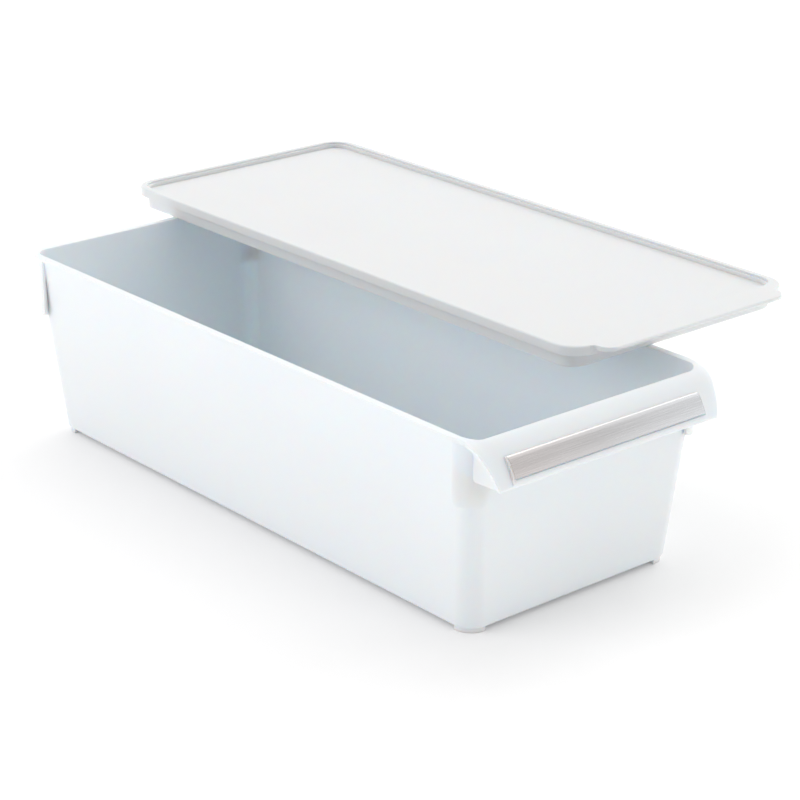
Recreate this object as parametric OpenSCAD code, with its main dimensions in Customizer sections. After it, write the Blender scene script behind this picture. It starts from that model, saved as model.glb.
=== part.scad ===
// Long narrow storage bin for a refrigerator shelf, with a loose lid.
// One moulded tub with a rolled grip along its front, four corner skirts and
// four corner feet, a tray-like lid with a pull tab, and a brushed trim strip
// that is bonded into a raised pad on the grip.
// Millimetres. +Z is up, the grip faces -Y, the origin is the centre of the
// base on the surface the feet stand on. The lid is drawn where it lies in the
// photograph: slid back and across, on the rim of one long side.

/* [Tub] */
// Length over the rim, back edge to the front line of the end wall
tub_l = 354; // [345:1:375]
// Width over the rim
tub_w = 150; // [144:1:170]
// Height from the table to the top of the rim
tub_h = 99; // [90:1:120]
// Length of the base between the outer faces
base_l = 329; // [322:1:333]
// Width of the base between the outer faces
base_w = 130; // [124:1:134]
// Thickness of the leaning walls, measured across
wall_t = 2; // [1.6:0.1:2.6]
// Thickness of the floor
floor_t = 2.4; // [1.8:0.1:3.5]
// Height of the four feet under the floor
foot_h = 2; // [1.5:0.25:3]
// Length of each foot along the base from the corner
foot_run = 11; // [8:0.5:16]

/* [Rim] */
// Width of the flat rim on the long sides and the back
rim_w = 3.9; // [3.4:0.1:5]
// Thickness of the rim's edge
rim_t = 1.6; // [1.2:0.1:2.4]
// Radius of the rim's corners in plan
rim_r = 14; // [13:0.5:18]
// Radius of the mouth's corners in plan
mouth_r = 7.5; // [6.5:0.5:9.5]
// How far the quarter-round skirts hang below the rim
skirt_drop = 32.6; // [20:0.2:40]
// Radius of the corner skirts in plan
skirt_r = 12; // [10:0.25:12.5]
// Thickness of the corner skirts
skirt_t = 1.8; // [1.4:0.1:2.4]

/* [Grip] */
// Radius of the roll where the rim turns over at the front
roll_r = 18; // [16:0.5:20]
// Radius of the flatter part below the roll
apron_r = 40; // [36:1:46]
// Angle at which the roll passes into the flatter part
roll_turn = 50; // [46:1:54]
// Angle at the lower edge of the grip
grip_turn = 71.3; // [69:0.1:74]
// Thickness of the grip
grip_t = 2.2; // [1.8:0.1:2.6]
// Inward slope of the grip's two ends, degrees from upright
end_slope = 16.6; // [14:0.2:18]
// Length of the raised pad on the grip
pad_l = 120.6; // [90:0.2:122]
// Height of the raised pad over the grip's face
pad_up = 1.5; // [1.3:0.1:1.8]
// Radius of the bend along the pad's upper edge
pad_bend = 3; // [2.5:0.25:4]
// Height of the low ledge under the pad
ledge_up = 0.6; // [0.3:0.1:0.9]

/* [Trim] */
// Thickness of the brushed strip
trim_t = 0.5; // [0.4:0.05:0.6]
// Width of the border left round the strip on the pad
trim_border = 0.8; // [0.6:0.1:1.5]
// Thickness of the bonding tape under the strip
tape_t = 0.25; // [0.2:0.05:0.3]

/* [Lid] */
// Height of the outer band of the lid
band_h = 5; // [4:0.2:6]
// Overall height of the lid, top of the lip to the bottom of the inner skirt
lid_h = 12.3; // [10:0.1:14]
// Depth of the recess in the top
recess_d = 3.2; // [2.4:0.2:3.6]
// Thickness of the top panel
panel_t = 1.8; // [1.6:0.1:2.4]
// Width of the lip round the recess
lip_w = 4.4; // [4:0.2:6]
// How far the pull tab stands out at the front
tab_out = 9.6; // [7:0.1:14]
// Length of the pull tab
tab_l = 123; // [80:1:124]
// How far the lid lies across from its closed place
lid_across = 91; // [80:1:100]
// How far the lid lies back from its closed place
lid_back = 33.1; // [20:0.1:45]

/* [Hidden] */
$fn = 64;

white = [0.94, 0.95, 0.97];
lid_white = [0.94, 0.94, 0.93];
silver = [0.72, 0.70, 0.71];
tape_grey = [0.82, 0.83, 0.84];

eps = 0.01;
lid_gap = 0.5;          // lid edge inside the rim edge, all round
plug_gap = 0.6;         // inner skirt of the lid to the mouth of the tub
rest_gap = 0.3;         // lid over the rim it lies on
bond_gap = 0.05;        // between pad, tape and strip
seat_gap = 0.12;        // strip to the border of its seat, at the ends and the top
plug_ease = 2.6;        // the inner skirt's corners are rounder than the mouth's
skirt_in = 1.1;         // skirts inside the rim's edge, at the sides
skirt_in_y = 3.6;         // the same at the front and back
end_in = 1.5;           // ends of the grip inside the rim's edge
front_w = 5.4;          // rim line to the mouth at the front

rim_x = tub_w / 2;
rim_y = tub_l / 2;
mouth_x = rim_x - rim_w;
mouth_back = rim_y - rim_w;
mouth_front = rim_y - front_w;
base_x = base_w / 2;
base_y = base_l / 2;
base_r = mouth_r + wall_t + 0.5;
base_edge = 2;          // rounding under the outer wall
floor_edge = 4;         // rounding round the floor inside
rim_cx = rim_x - rim_r;
rim_cy = rim_y - rim_r;
wall_top = tub_h - 0.8;
skirt_cx = rim_x - skirt_in - skirt_r;
skirt_cy = rim_y - skirt_in_y - skirt_r;

// the two arcs of the grip, seen from the side, as centres in the YZ plane
roll_y = -rim_y + 11.5;
roll_z = tub_h - roll_r;
apron_y = roll_y + (apron_r - roll_r) * sin(roll_turn);
apron_z = roll_z - (apron_r - roll_r) * cos(roll_turn);
grip_low = apron_z + apron_r * cos(grip_turn);
pad_turn = roll_turn + 1.6;
seat_low_turn = grip_turn - 3.3;
strip_low_turn = seat_low_turn - 0.8;
seat_d = trim_t + tape_t + 2 * bond_gap;

// the bend along the pad's upper edge starts on the grip's face at pad_turn
bend_c = apron_r + pad_up - pad_bend;
bend_wrap = acos((apron_r * apron_r - bend_c * bend_c - pad_bend * pad_bend) / (2 * bend_c * pad_bend));
bend_turn = pad_turn + asin(pad_bend * sin(bend_wrap) / apron_r);
bend_y = apron_y - bend_c * sin(bend_turn);
bend_z = apron_z + bend_c * cos(bend_turn);
strip_top = bend_turn - bend_wrap + 16;

lid_x = rim_x - lid_gap;
lid_y = rim_y - 0.2;
lid_r = rim_r - lid_gap;
plug_t = 1.8;
plug_r = mouth_r - plug_gap + plug_ease;
lid_z = tub_h + rest_gap + lid_h;

// outline with round corners, from its four sides
module outline(x0, x1, y0, y1, r) {
    translate([x0 + r, y0]) square([x1 - x0 - 2 * r, y1 - y0]);
    translate([x0, y0 + r]) square([x1 - x0, y1 - y0 - 2 * r]);
    for (x = [x0 + r, x1 - r], y = [y0 + r, y1 - r]) translate([x, y]) circle(r);
}

// a thin layer of a leaning shell: share 0 at the base, 1 at the rim's level,
// set in by the given amount
module layer(z, inset) {
    share = (z - foot_h) / (tub_h - foot_h);
    x = base_x + (mouth_x + wall_t - base_x) * share - inset;
    yb = base_y + (mouth_back + wall_t - base_y) * share - inset;
    yf = base_y + (mouth_front + wall_t - base_y) * share - inset;
    r = base_r + (mouth_r + wall_t - base_r) * share - inset;
    translate([0, 0, z]) linear_extrude(eps) outline(-x, x, -yf, yb, r);
}

// quarter circle of steps for a rounded bottom edge
function edge_in(r, a) = r * (1 - sin(a));
function edge_up(r, a) = r * (1 - cos(a));

module outer_shell() {
    hull() {
        for (a = [0 : 22.5 : 90])
            layer(foot_h + edge_up(base_edge, a), edge_in(base_edge, a));
        layer(wall_top, 0);
    }
}

module cavity() {
    hull() {
        for (a = [0 : 22.5 : 90])
            layer(foot_h + floor_t + edge_up(floor_edge, a),
                  wall_t + edge_in(floor_edge, a));
        layer(tub_h + 3, wall_t);
    }
}

// runs a profile round a rounded rectangle: X of the profile is the distance
// from the corner centres, Y of the profile is up
module run_round(cx, cy) {
    for (s = [0 : 3]) {
        px = (s == 0 || s == 3) ? cx : -cx;
        py = (s < 2) ? cy : -cy;
        translate([px, py, 0]) rotate([0, 0, 90 * s])
            rotate_extrude(angle = 90) children();
    }
    for (s = [0, 180]) rotate([0, 0, s]) {
        translate([cx, cy, 0]) rotate([90, 0, 0]) linear_extrude(2 * cy) children();
        translate([-cx, cy, 0]) rotate([90, 0, 90]) linear_extrude(2 * cx) children();
    }
}

// the flat rim; at the front it runs on under the roll of the grip
module rim() {
    translate([0, 0, tub_h - rim_t]) linear_extrude(rim_t) {
        outline(-rim_x, rim_x, -rim_cy, rim_y, rim_r);
        translate([-rim_x, roll_y - 6]) square([tub_w, -roll_y]);
    }
}

// part of a round wall seen from the side, between two angles from the top
module bow(cy, cz, r_in, r_out, a0, a1) {
    reach = r_out * 1.3;
    translate([cy, cz]) intersection() {
        difference() {
            circle(r_out, $fn = 128);
            circle(r_in, $fn = 128);
        }
        polygon([[0, 0], [-reach * sin(a0), reach * cos(a0)],
                 [-reach * sin((a0 + a1) / 2), reach * cos((a0 + a1) / 2)],
                 [-reach * sin(a1), reach * cos(a1)]]);
    }
}

// places a side-view outline (y, z) across the tub, centred on x = 0
module across(len) {
    translate([-len / 2, 0, 0]) rotate([90, 0, 90]) linear_extrude(len) children();
}

// points along an arc seen from the side, angles counted from the top
function arc_pts(cy, cz, r, a0, a1, n) =
    [for (i = [0 : n]) let (a = a0 + (a1 - a0) * i / n) [cy - r * sin(a), cz + r * cos(a)]];
function roll_pts(r, a0, a1) = arc_pts(roll_y, roll_z, r, a0, a1, ceil((a1 - a0) / 2));
function apron_pts(r, a0, a1) = arc_pts(apron_y, apron_z, r, a0, a1, ceil((a1 - a0) / 1.25));
function bend_pts(off, a0, a1) = arc_pts(bend_y, bend_z, pad_bend + off, a0, a1, ceil((a1 - a0) / 6));
function back_to_front(p) = [for (i = [len(p) - 1 : -1 : 0]) p[i]];

// section of the grip: flat lead-in, roll, flatter apron and a round lower edge
module grip_face() {
    lead = 3;
    mid_r = apron_r - grip_t / 2;
    polygon(concat(
        [[roll_y + lead, tub_h]],
        roll_pts(roll_r, 0, roll_turn),
        apron_pts(apron_r, roll_turn + 2, grip_turn),
        arc_pts(apron_y - mid_r * sin(grip_turn), apron_z + mid_r * cos(grip_turn),
                grip_t / 2, grip_turn + 20, grip_turn + 160, 7),
        back_to_front(apron_pts(apron_r - grip_t, roll_turn + 2, grip_turn)),
        back_to_front(roll_pts(roll_r - grip_t, 0, roll_turn)),
        [[roll_y + lead, tub_h - grip_t]]));
}

// takes the end wall, the rim and the skirts down to just inside the grip's face
module under_roll() {
    r = roll_r - grip_t * 0.3;
    across(tub_w + 4) polygon(concat(
        roll_pts(r, 0, 75),
        [[-rim_y - 40, roll_z], [-rim_y - 40, tub_h + 10], [roll_y, tub_h + 10]]));
}

// the upright plates that close the grip's ends stand here; each meets the
// corner skirt at web_rear and the grip's lower edge at web_tip
web_t = 1.8;
web_toe = 5;
web_tip_y = apron_y - (apron_r - grip_t / 2) * sin(grip_turn);
web_tip_x = rim_x - end_in - 0.15 - (tub_h - rim_t - grip_low) * tan(end_slope);
web_rear_x = web_tip_x + (-skirt_cy - 8 - web_tip_y) * tan(web_toe);
web_rear_y = -skirt_cy - sqrt(skirt_r * skirt_r - pow(web_rear_x - skirt_cx, 2));
web_low = grip_low - 0.4;

// the space between the grip and the corner skirt, with a round lower corner
module web_face() {
    soft = 2;
    polygon(concat(
        roll_pts(roll_r - grip_t / 2, 0, roll_turn),
        apron_pts(apron_r - grip_t / 2, roll_turn + 2, grip_turn),
        [for (a = [90 : 22.5 : 180]) [web_rear_y - soft - soft * cos(a), web_low + soft - soft * sin(a)]],
        [[-skirt_cy, web_low + soft], [-skirt_cy, tub_h - grip_t / 2]]));
}

// everything of the grip that the sloping ends cut off
module grip_ends() {
    for (m = [0, 1]) mirror([m, 0, 0])
        translate([rim_x - end_in, 0, tub_h - rim_t]) rotate([0, end_slope, 0])
            translate([0, -rim_y - 30, -60]) cube([40, 37.5, 70]);
}

// seen from above, the rim draws in at each end of the grip along a soft curve
module draw_in() {
    y0 = -rim_y + 19;
    run = 13;
    for (m = [0, 1]) mirror([m, 0, 0]) translate([0, 0, -1]) linear_extrude(tub_h + 20)
        polygon(concat(
            [[rim_x + 9, y0]],
            [for (i = [0 : 8]) let (t = i / 8) [rim_x + 0.1 - (end_in + 0.1) * t * t * (3 - 2 * t), y0 - run * t]],
            [[rim_x - end_in, -rim_y - 30], [rim_x + 9, -rim_y - 30]]));
}

// closes each end of the grip, from its lower edge back into the corner skirt
module webs() {
    for (m = [0, 1]) mirror([m, 0, 0]) difference() {
        intersection() {
            across(2 * rim_x) web_face();
            translate([web_tip_x, web_tip_y - 1, 0]) rotate([0, 0, -web_toe])
                translate([-web_t, -3, web_low - 5]) cube([web_t, 60, tub_h]);
        }
        translate([skirt_cx, -skirt_cy, 0]) cylinder(h = 2 * tub_h, r = skirt_r - skirt_t / 2);
    }
}

// the raised pad: a bend, a flatter face and a low ledge along the bottom
module pad_face() {
    polygon(concat(
        bend_pts(0, bend_turn - bend_wrap - 18, bend_turn),
        apron_pts(apron_r + pad_up, bend_turn + 1, seat_low_turn),
        apron_pts(apron_r + ledge_up, seat_low_turn, grip_turn - 0.4),
        back_to_front(apron_pts(apron_r - 1, pad_turn, grip_turn - 0.4))));
}

// the seat of the strip, with a groove along its lower edge
module seat_face() {
    top = strip_top - seat_gap / pad_bend * 57.3;
    polygon(concat(
        bend_pts(2, top, bend_turn),
        apron_pts(apron_r + pad_up + 2, bend_turn + 1, seat_low_turn),
        back_to_front(apron_pts(apron_r - 0.1, strip_low_turn, seat_low_turn)),
        back_to_front(apron_pts(apron_r + pad_up - seat_d, bend_turn + 1, strip_low_turn)),
        back_to_front(bend_pts(-seat_d, top, bend_turn))));
}

module grip() {
    difference() {
        union() {
            across(tub_w) grip_face();
            across(pad_l) pad_face();
        }
        across(pad_l - 2 * trim_border) seat_face();
        grip_ends();
    }
    webs();
}

// quarter-round skirt under a corner of the rim, with rounded lower corners
module corner_skirt() {
    low = tub_h - skirt_drop;
    soft = 3.5;
    chord = skirt_r * 1.4142;
    intersection() {
        translate([skirt_cx, skirt_cy, low]) rotate_extrude(angle = 90)
            translate([skirt_r - skirt_t, 0]) square([skirt_t, skirt_drop - rim_t / 2]);
        translate([skirt_cx, skirt_cy, 0]) rotate([0, 0, -45]) rotate([90, 0, 0])
            translate([0, 0, -2 * rim_r]) linear_extrude(2 * rim_r + 1)
                outline(-chord / 2, chord / 2, low, tub_h + 10, soft);
    }
}

module corner_foot() {
    lip = 3.4;
    intersection() {
        linear_extrude(foot_h + 1) difference() {
            outline(-base_x + 1, base_x - 1, -base_y + 1, base_y - 1, base_r - 1);
            outline(-base_x + 1 + lip, base_x - 1 - lip,
                    -base_y + 1 + lip, base_y - 1 - lip, base_r - 1 - lip);
        }
        translate([base_x - foot_run, base_y - foot_run, -1]) cube([foot_run + 1, foot_run + 1, foot_h + 3]);
    }
}

module tub() {
    color(white) difference() {
        union() {
            difference() {
                union() {
                    outer_shell();
                    rim();
                    for (mx = [0, 1], my = [0, 1]) mirror([mx, 0, 0]) mirror([0, my, 0])
                        corner_skirt();
                }
                under_roll();
            }
            grip();
            for (mx = [0, 1], my = [0, 1]) mirror([mx, 0, 0]) mirror([0, my, 0])
                corner_foot();
        }
        cavity();
        draw_in();
    }
}

module trim_strip() {
    color(silver) across(pad_l - 2 * trim_border - 2 * seat_gap) polygon(concat(
        bend_pts(0, strip_top, bend_turn),
        apron_pts(apron_r + pad_up, bend_turn + 1, strip_low_turn),
        back_to_front(apron_pts(apron_r + pad_up - trim_t, bend_turn + 1, strip_low_turn)),
        back_to_front(bend_pts(-trim_t, strip_top, bend_turn))));
}

module trim_tape() {
    color(tape_grey) across(pad_l - 2 * trim_border - 2 * seat_gap - 3)
        bow(apron_y, apron_z, apron_r + pad_up - seat_d + bond_gap,
            apron_r + pad_up - trim_t - bond_gap, bend_turn + 1.5, strip_low_turn - 1.2);
}

module band_profile() {
    soft = 0.9;
    low = 0.5;
    translate([lid_r - 8, -band_h]) square([8 - soft, band_h]);
    translate([lid_r - 8, -band_h + low]) square([8, band_h - low - soft]);
    translate([lid_r - soft, -soft]) circle(soft, $fn = 32);
    translate([lid_r - low, -band_h + low]) circle(low, $fn = 24);
}

module plug_profile() {
    soft = plug_t / 2;
    translate([plug_r - plug_t, -lid_h + soft]) square([plug_t, lid_h - band_h + soft]);
    translate([plug_r - soft, -lid_h + soft]) circle(soft, $fn = 32);
}

// the inner skirt that drops into the mouth of the tub
module plug() {
    px = mouth_x - plug_gap - plug_r;
    pb = mouth_back - plug_gap - plug_r;
    pf = mouth_front - plug_gap - plug_r;
    translate([0, (pb - pf) / 2, 0]) run_round(px, (pb + pf) / 2) plug_profile();
}

// the pull tab: a thin flange level with the lip, with soft front corners
module tab() {
    tab_t = 2.2;
    tab_r = 8;
    inner_r = 2;
    y0 = -lid_y - tab_out;
    intersection() {
        translate([0, 0, -tab_t]) linear_extrude(tab_t) {
            outline(-tab_l / 2, tab_l / 2, y0, -lid_y + 20, tab_r);
            for (m = [0, 1]) mirror([m, 0]) difference() {
                translate([tab_l / 2 - 1, -lid_y - inner_r]) square([inner_r + 1, inner_r + 1]);
                translate([tab_l / 2 + inner_r, -lid_y - inner_r]) circle(inner_r, $fn = 32);
            }
        }
        across(tab_l + 10) {
            translate([y0 + tab_t / 2, -tab_t]) square([tab_out + 20, tab_t]);
            translate([y0 + tab_t / 2, -tab_t / 2]) circle(tab_t / 2, $fn = 32);
        }
    }
}

module recess() {
    front_lip = lip_w + 3.1;
    step = 1;
    for (k = [0, 1]) translate([0, 0, k == 0 ? -recess_d : -recess_d / 3])
        linear_extrude(recess_d)
            outline(-lid_x + lip_w - k * step, lid_x - lip_w + k * step,
                    -lid_y + front_lip - k * step, lid_y - lip_w + k * step,
                    lid_r - lip_w + k * step);
}

module lid_body() {
    difference() {
        union() {
            run_round(lid_x - lid_r, lid_y - lid_r) band_profile();
            translate([0, 0, -recess_d - panel_t]) linear_extrude(recess_d + panel_t)
                outline(-lid_x + 6, lid_x - 6, -lid_y + 6, lid_y - 6, lid_r - 6);
            plug();
            tab();
        }
        recess();
    }
}

module lid() {
    color(lid_white) translate([lid_across, lid_back, lid_z]) lid_body();
}

tub();
lid();
trim_strip();
trim_tape();
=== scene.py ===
# %% [markdown]
# # A long refrigerator bin with a loose lid
# The object is two thin white plastic mouldings and one metal strip: an open tub
# with a rolled grip, a tray-like lid lying across one long rim, and a brushed
# strip bonded to the grip. The shapes come finished from the construction model,
# so this script gives each piece its real surface, and then sets up the light and
# the camera.

# %% Load the frame
import bmesh
import bpy
import math
from mathutils import Matrix, Vector


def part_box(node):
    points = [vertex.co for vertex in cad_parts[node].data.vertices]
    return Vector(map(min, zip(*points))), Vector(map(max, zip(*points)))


MM = 0.001

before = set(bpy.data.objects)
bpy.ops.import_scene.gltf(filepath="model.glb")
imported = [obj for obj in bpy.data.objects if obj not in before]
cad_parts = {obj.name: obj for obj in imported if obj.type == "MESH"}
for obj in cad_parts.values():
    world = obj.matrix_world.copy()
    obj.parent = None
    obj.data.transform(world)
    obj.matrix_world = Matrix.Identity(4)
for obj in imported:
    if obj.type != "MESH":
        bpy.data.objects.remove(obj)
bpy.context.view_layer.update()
for node in ("tub", "lid", "trim_strip", "trim_tape"):
    low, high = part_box(node)
    print(node, "from", [round(v / MM, 1) for v in low], "to", [round(v / MM, 1) for v in high], "mm")

# %% [markdown]
# ## Helpers for node materials
# Every finish here is built from nodes, so it holds at any distance and needs no
# picture. A few small helpers keep the cells below readable: one starts an empty
# finish, one adds a node and sets its values, one joins two sockets, and one makes
# a colour ramp. The pattern always reads Object coordinates, so it stays on the
# piece when the piece moves.


# %% Node helpers
def new_finish(name):
    finish = bpy.data.materials.new(name)
    finish.use_nodes = True
    finish.node_tree.nodes.clear()
    return finish, finish.node_tree


def add(tree, kind, **values):
    node = tree.nodes.new(kind)
    for key, value in values.items():
        if hasattr(node, key):
            setattr(node, key, value)
        else:
            node.inputs[key.replace("_", " ")].default_value = value
    return node


def join(tree, a, out, b, into):
    tree.links.new(a.outputs[out], b.inputs[into])


# %% Ramps and ranges
def ramp(tree, stops):
    node = add(tree, "ShaderNodeValToRGB")
    steps = node.color_ramp.elements
    for step, (place, colour) in zip(steps, (stops[0], stops[-1])):
        step.position = place
        step.color = colour
    for place, colour in stops[1:-1]:
        steps.new(place).color = colour
    return node


def map_range(tree, to_min, to_max, from_min=0.0, from_max=1.0, **values):
    node = add(tree, "ShaderNodeMapRange", **values)
    node.inputs["From Min"].default_value = from_min
    node.inputs["From Max"].default_value = from_max
    node.inputs["To Min"].default_value = to_min
    node.inputs["To Max"].default_value = to_max
    return node


def bump(tree, height, normal, strength, distance):
    node = add(tree, "ShaderNodeBump", Strength=strength, Distance=distance)
    join(tree, height, "Fac", node, "Height")
    if normal is not None:
        join(tree, normal, "Normal", node, "Normal")
    return node


# %% [markdown]
# ## The white plastic of the tub
# The tub is injection-moulded polypropylene: a cool, slightly milky white with a
# satin skin. Its walls are only 2 mm thick, so light soaks in and comes out on the
# other side, and the inside of the tub glows a pale blue. Subsurface scattering
# does that, and its reach says how deep the light goes. Blue travels a little
# further than red, which is where the cool tone comes from.

# %% Milky body
PLASTIC_IOR = 1.49
PLASTIC_SHINE = 0.42
LIGHT_TRAVEL = (0.75, 1.0, 1.2)


def milky_body(tree, reach):
    skin = add(tree, "ShaderNodeBsdfPrincipled", IOR=PLASTIC_IOR)
    skin.inputs["Specular IOR Level"].default_value = PLASTIC_SHINE
    skin.inputs["Subsurface Weight"].default_value = 1.0
    skin.inputs["Subsurface Radius"].default_value = LIGHT_TRAVEL
    skin.inputs["Subsurface Scale"].default_value = reach
    return skin


# %% [markdown]
# Real mouldings are never perfectly even. The colour drifts a little with wall
# thickness, and the gloss changes in broad patches where the melt cooled. One slow
# noise drives both, because on the real piece they have the same cause.

# %% Uneven colour and gloss
DRIFT_SCALE = 14.0
GLOSSIER, DULLER = 0.04, 0.05


def uneven_colour(tree, place, skin, base, deep, rough):
    drift = add(tree, "ShaderNodeTexNoise", Scale=DRIFT_SCALE, Detail=3.0, Roughness=0.5)
    join(tree, place, "Object", drift, "Vector")
    tint = ramp(tree, [(0.3, base), (0.75, deep)])
    join(tree, drift, "Fac", tint, "Fac")
    join(tree, tint, "Color", skin, "Base Color")
    gloss = map_range(tree, rough - GLOSSIER, rough + DULLER)
    join(tree, drift, "Fac", gloss, "Value")
    join(tree, gloss, "Result", skin, "Roughness")


# %% [markdown]
# The surface carries a very fine texture from the steel, and a slow waviness from
# shrinkage. A Bevel node rounds the light on edges that the steel left with a
# radius too small to model. The three are stacked: the rounded edge first, then
# the wave on it, then the fine skin on top.

# %% Relief of the skin
SOFT_EDGE = 0.55 * MM
WAVE_SCALE, WAVE_STRENGTH, WAVE_HEIGHT = 42.0, 0.05, 0.25 * MM
PORE_SCALE, PORE_HEIGHT = 1900.0, 0.02 * MM


def skin_relief(tree, place, skin, grain):
    pores = add(tree, "ShaderNodeTexNoise", Scale=PORE_SCALE, Detail=2.0, Roughness=0.6)
    join(tree, place, "Object", pores, "Vector")
    sweep = add(tree, "ShaderNodeTexNoise", Scale=WAVE_SCALE, Detail=1.0)
    join(tree, place, "Object", sweep, "Vector")
    edge = add(tree, "ShaderNodeBevel", samples=6, Radius=SOFT_EDGE)
    wave = bump(tree, sweep, edge, WAVE_STRENGTH, WAVE_HEIGHT)
    fine = bump(tree, pores, wave, grain, PORE_HEIGHT)
    join(tree, fine, "Normal", skin, "Normal")


# %% Tub plastic
def moulded_plastic(name, base, deep, rough, grain, reach):
    finish, tree = new_finish(name)
    out = add(tree, "ShaderNodeOutputMaterial")
    place = add(tree, "ShaderNodeTexCoord")
    skin = milky_body(tree, reach)
    uneven_colour(tree, place, skin, base, deep, rough)
    skin_relief(tree, place, skin, grain)
    join(tree, skin, "BSDF", out, "Surface")
    return finish


tub_white = moulded_plastic(
    "tub_polypropylene",
    base=(0.85, 0.872, 0.893, 1),
    deep=(0.838, 0.863, 0.888, 1),
    rough=0.40,
    grain=0.25,
    reach=2.2 * MM,
)
print("tub finish has", len(tub_white.node_tree.nodes), "nodes")

# %% [markdown]
# ## The lid's plastic
# The lid is moulded separately, and such lids are often a touch warmer and flatter
# in gloss than the tub. The same recipe serves, with a warmer base and a rougher
# skin. Light reaches less deep in it, which keeps its flat top one even tone.

# %% Lid plastic
lid_white = moulded_plastic(
    "lid_polypropylene",
    base=(0.775, 0.783, 0.785, 1),
    deep=(0.765, 0.775, 0.779, 1),
    rough=0.55,
    grain=0.3,
    reach=1.1 * MM,
)
print("lid finish has", len(lid_white.node_tree.nodes), "nodes")

# %% [markdown]
# ## The brushed strip
# The strip is thin aluminium, brushed along its length. Brushing leaves thousands
# of fine scratches that all run one way. A noise that is stretched hard along X
# looks like them, so the same streaks can drive the colour, the roughness and the
# bump.

# %% Streaks along the strip
STREAK_STRETCH = (1.0, 60.0, 60.0)
STREAK_SCALE = 45.0
STREAK_DARK, STREAK_LIGHT = (0.84, 0.84, 0.84, 1), (1.0, 1.0, 1.0, 1)


def streaks(tree, place):
    stretch = add(tree, "ShaderNodeMapping", Scale=STREAK_STRETCH)
    join(tree, place, "Object", stretch, "Vector")
    streak = add(tree, "ShaderNodeTexNoise", Scale=STREAK_SCALE, Detail=6.0, Roughness=0.65)
    join(tree, stretch, "Vector", streak, "Vector")
    return streak


# %% [markdown]
# The strip carries a painted reflection along its length: a warm, darker grey at one end runs to a
# cool, lighter grey at the other, where the room would be mirrored in the metal. A map range turns
# the place along X into 0 to 1, and a ramp gives the painted colour there.

# %% Painted reflection along the strip
STRIP_HALF = 60 * MM
# Painted reflection: the colour runs from warm and darker at -X to cool and lighter at +X.
STRIP_PAINTED_REFLECTION = [
    (0.0, (0.83, 0.785, 0.775, 1)),
    (0.5, (0.82, 0.815, 0.825, 1)),
    (1.0, (0.90, 0.92, 0.95, 1)),
]


def painted_reflection_along_strip(tree, place):
    apart = add(tree, "ShaderNodeSeparateXYZ")
    join(tree, place, "Object", apart, "Vector")
    along = map_range(tree, 0.0, 1.0, -STRIP_HALF, STRIP_HALF)
    join(tree, apart, "X", along, "Value")
    tint = ramp(tree, STRIP_PAINTED_REFLECTION)
    join(tree, along, "Result", tint, "Fac")
    return tint


# %% [markdown]
# The streaks and the painted reflection are multiplied for the metal's colour. The shader's
# anisotropy spreads the highlight across the scratches and keeps it short along them.

# %% Brushed strip
MIX_A, MIX_B, MIX_RESULT = 6, 7, 2
STRIP_ROUGH = (0.20, 0.32)


def brushed_strip(name):
    finish, tree = new_finish(name)
    out = add(tree, "ShaderNodeOutputMaterial")
    metal = add(tree, "ShaderNodeBsdfPrincipled", Metallic=1.0, Anisotropic=0.35)
    place = add(tree, "ShaderNodeTexCoord")
    streak = streaks(tree, place)
    tone = ramp(tree, [(0.25, STREAK_DARK), (0.8, STREAK_LIGHT)])
    join(tree, streak, "Fac", tone, "Fac")
    blend = add(tree, "ShaderNodeMix", data_type="RGBA", blend_type="MULTIPLY", Factor=1.0)
    join(tree, tone, "Color", blend, MIX_A)
    # The painted reflection along the strip goes into the metal's colour here.
    join(tree, painted_reflection_along_strip(tree, place), "Color", blend, MIX_B)
    join(tree, blend, MIX_RESULT, metal, "Base Color")
    rough = map_range(tree, *STRIP_ROUGH)
    join(tree, streak, "Fac", rough, "Value")
    join(tree, rough, "Result", metal, "Roughness")
    scratch = bump(tree, streak, None, 0.25, 0.02 * MM)
    join(tree, scratch, "Normal", metal, "Normal")
    join(tree, metal, "BSDF", out, "Surface")
    return finish


strip_metal = brushed_strip("brushed_strip_metal")
print("strip finish has", len(strip_metal.node_tree.nodes), "nodes")

# %% [markdown]
# ## The bonding tape
# Only a hairline of the tape shows round the strip. It is a pale, slightly fibrous
# film, so a plain diffuse surface with a little fibre noise is enough.

# %% Tape
FIBRE_SCALE = 700.0


def tape_film(name):
    finish, tree = new_finish(name)
    out = add(tree, "ShaderNodeOutputMaterial")
    film = add(tree, "ShaderNodeBsdfPrincipled", Roughness=0.6)
    place = add(tree, "ShaderNodeTexCoord")
    fibre = add(tree, "ShaderNodeTexNoise", Scale=FIBRE_SCALE, Detail=3.0)
    join(tree, place, "Object", fibre, "Vector")
    tone = ramp(tree, [(0.3, (0.70, 0.71, 0.72, 1)), (0.7, (0.80, 0.81, 0.82, 1))])
    join(tree, fibre, "Fac", tone, "Fac")
    join(tree, tone, "Color", film, "Base Color")
    join(tree, film, "BSDF", out, "Surface")
    return finish


tape_pale = tape_film("bonding_tape")
print("tape finish has", len(tape_pale.node_tree.nodes), "nodes")

# %% [markdown]
# ## Dressing the pieces
# Each piece from the construction model keeps its mesh and its place. Only the
# material in its slots changes.

# %% Put the finishes on
finishes = {
    "tub": tub_white,
    "lid": lid_white,
    "trim_strip": strip_metal,
    "trim_tape": tape_pale,
}
for node, finish in finishes.items():
    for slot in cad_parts[node].material_slots:
        slot.material = finish
    print(node, "wears", finish.name)

# %% [markdown]
# ## The floor
# The bin stands on seamless white studio paper. A large plane with a curved rise
# at the back would do, but with a pale world around it a flat plane is enough. The
# paper glows a little, more with distance, so the far floor melts into the
# background from every side while the soft shadow round the bin stays.

# %% Paper
PAPER_WHITE = (0.985, 0.985, 0.985, 1)
GLOW_NEAR, GLOW_FAR = 0.055, 0.45
GLOW_FROM, GLOW_TO = 0.25, 2.0


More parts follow.
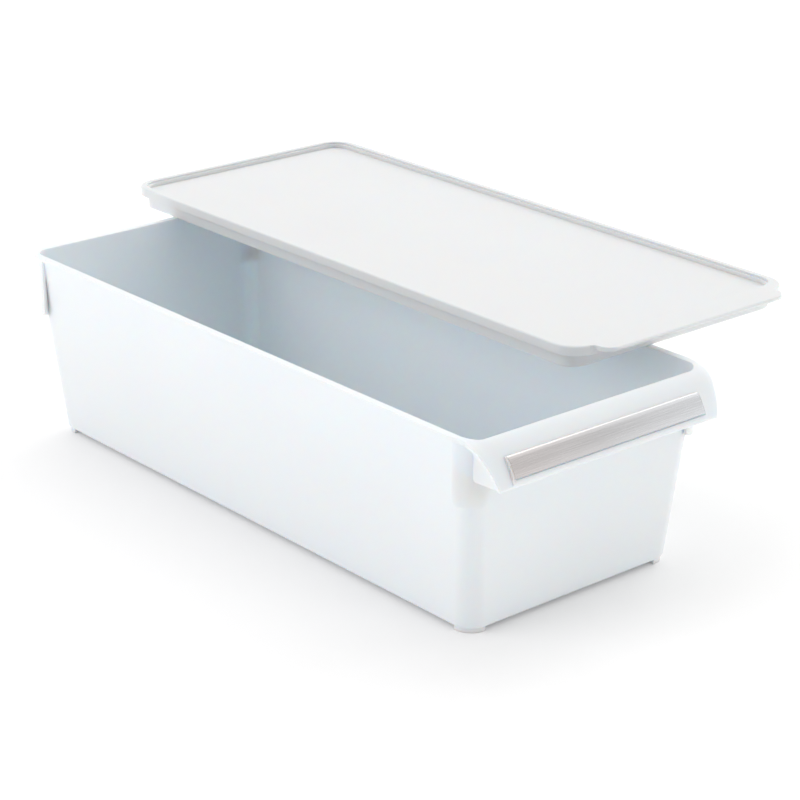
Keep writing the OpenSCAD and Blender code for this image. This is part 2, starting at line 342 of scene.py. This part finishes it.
def floor_paper(name):
    finish, tree = new_finish(name)
    out = add(tree, "ShaderNodeOutputMaterial")
    paper = add(tree, "ShaderNodeBsdfPrincipled", Roughness=0.9)
    paper.inputs["Specular IOR Level"].default_value = 0.1
    paper.inputs["Base Color"].default_value = PAPER_WHITE
    paper.inputs["Emission Color"].default_value = (1, 1, 1, 1)
    place = add(tree, "ShaderNodeTexCoord")
    away = add(tree, "ShaderNodeVectorMath", operation="LENGTH")
    join(tree, place, "Object", away, 0)
    glow = map_range(tree, GLOW_NEAR, GLOW_FAR, GLOW_FROM, GLOW_TO)
    join(tree, away, "Value", glow, "Value")
    join(tree, glow, "Result", paper, "Emission Strength")
    join(tree, paper, "BSDF", out, "Surface")
    return finish


# %% Floor
FLOOR_HALF = 4.0


def studio_floor():
    sheet = bmesh.new()
    bmesh.ops.create_grid(sheet, x_segments=8, y_segments=8, size=FLOOR_HALF)
    mesh = bpy.data.meshes.new("studio_floor")
    sheet.to_mesh(mesh)
    sheet.free()
    mesh.materials.append(floor_paper("floor_paper"))
    floor = bpy.data.objects.new("studio_floor", mesh)
    bpy.context.scene.collection.objects.link(floor)
    return floor


floor = studio_floor()
print("floor is", 2 * FLOOR_HALF, "m square")

# %% [markdown]
# ## Light
# The photograph has almost no hard shadow: the light is a pale room with a few big
# soft boxes. One hangs over the bin towards the back right, one stands at each
# side, and a weak one fills from the front. The boxes whose shapes would show in
# the metal are hidden from reflections.

# %% Soft boxes
# name: place, aim, size in metres, power in watts, colour, seen in reflections
SOFT_BOXES = {
    "overhead": ((0.75, 0.7, 1.85), (0.05, 0, 0.05), (1.7, 1.7), 7.2, (1.0, 0.985, 0.965), True),
    "right_back": ((2.1, 0.1, 0.9), (0.5, 0, 0), (2.2, 1.4), 14, (1, 1, 1), False),
    "left_window": ((-1.75, 0.85, 0.95), (0, 0.05, 0.08), (1.4, 1.2), 10, (0.98, 0.97, 1.0), True),
    "front_fill": ((0.6, -2.3, 0.6), (0.1, 0, 0.05), (1.6, 1.0), 5, (1.0, 0.98, 0.95), False),
}


def soft_box(name, place, aim, size, power, colour, in_reflections):
    data = bpy.data.lights.new(name, "AREA")
    data.shape = "RECTANGLE"
    data.size, data.size_y = size
    data.energy = power
    data.color = colour
    box = bpy.data.objects.new(name, data)
    box.location = place
    box.rotation_euler = (Vector(aim) - Vector(place)).to_track_quat("-Z", "Y").to_euler()
    box.visible_glossy = in_reflections
    bpy.context.scene.collection.objects.link(box)
    return box


for name, facts in SOFT_BOXES.items():
    box = soft_box(name, *facts)
    print(name, "gives", box.data.energy, "W")

# %% [markdown]
# The world does the rest. It is white, but dimmer on the front left, so the walls
# that face that way come out a shade darker than the lid's top, and it has one
# dark zone that shows as a band in the metal. Each dim zone is an oval round one
# direction of the sky: the distance from that direction, squeezed a little, is
# turned into a smooth dip in strength.

# %% Dim zones
def dim_zone(tree, side, centre, squeeze, amount):
    away = add(tree, "ShaderNodeVectorMath", operation="SUBTRACT")
    away.inputs[1].default_value = Vector(centre).normalized()
    join(tree, side, "Generated", away, 0)
    oval = add(tree, "ShaderNodeVectorMath", operation="MULTIPLY")
    oval.inputs[1].default_value = squeeze
    join(tree, away, "Vector", oval, 0)
    reach = add(tree, "ShaderNodeVectorMath", operation="LENGTH")
    join(tree, oval, "Vector", reach, 0)
    fall = map_range(tree, 1 - amount, 1.0, 0.1, 1.0, interpolation_type="SMOOTHSTEP")
    join(tree, reach, "Value", fall, "Value")
    return fall


# %% World
SKY_WHITE = (1.0, 0.995, 0.99, 1)
SKY_STRENGTH = 0.9
FRONT_LEFT = dict(centre=(-0.70, -0.66, 0.25), squeeze=(0.85, 0.85, 0.85), amount=0.86)
DARK_ROOM = dict(centre=(0.52, -0.745, 0.46), squeeze=(2.8, 2.8, 3.6), amount=0.5)


def studio_world():
    world = bpy.data.worlds.new("studio_white")
    bpy.context.scene.world = world
    world.use_nodes = True
    tree = world.node_tree
    sky = tree.nodes["Background"]
    sky.inputs["Color"].default_value = SKY_WHITE
    side = add(tree, "ShaderNodeTexCoord")
    both = add(tree, "ShaderNodeMath", operation="MULTIPLY")
    for socket, zone in enumerate((FRONT_LEFT, DARK_ROOM)):
        join(tree, dim_zone(tree, side, **zone), "Result", both, socket)
    level = add(tree, "ShaderNodeMath", operation="MULTIPLY")
    level.inputs[1].default_value = SKY_STRENGTH
    join(tree, both, "Value", level, 0)
    join(tree, level, "Value", sky, "Strength")
    return world


world = studio_world()
bpy.context.scene.view_settings.view_transform = "Standard"
print("world has", len(world.node_tree.nodes), "nodes")

# %% [markdown]
# ## Camera
# The view was solved from the straight edges of the bin in the photograph. The
# camera stands 1.26 m away, 21 degrees above the table and 40 degrees round from
# the front, and looks at a point just beside the middle of the bin.

# %% Camera
AROUND, ABOVE, ROLL = math.radians(-40.443), math.radians(21.345), math.radians(0.075)
LOOK_AT = Vector((0.0348, 0.0, 0.0400))
CAMERA_AWAY = 1.2558
SENSOR_MM = 36.0
FOCAL_PIXELS, FRAME_PIXELS = 2451, 800


def photo_camera():
    level = math.cos(ABOVE)
    back = Vector((math.sin(AROUND) * level, -math.cos(AROUND) * level, math.sin(ABOVE)))
    right = Vector((math.cos(AROUND), math.sin(AROUND), 0.0))
    turn = Matrix((right, back.cross(right), back)).transposed()
    data = bpy.data.cameras.new("photo_view")
    data.sensor_width = SENSOR_MM
    data.lens = SENSOR_MM * FOCAL_PIXELS / FRAME_PIXELS
    data.clip_end = 50
    view = bpy.data.objects.new("photo_view", data)
    stand = Matrix.Translation(LOOK_AT + back * CAMERA_AWAY)
    view.matrix_world = stand @ (turn @ Matrix.Rotation(ROLL, 3, "Z")).to_4x4()
    bpy.context.scene.collection.objects.link(view)
    bpy.context.scene.camera = view
    return view


camera = photo_camera()
print("camera stands at", [round(v, 3) for v in camera.location])
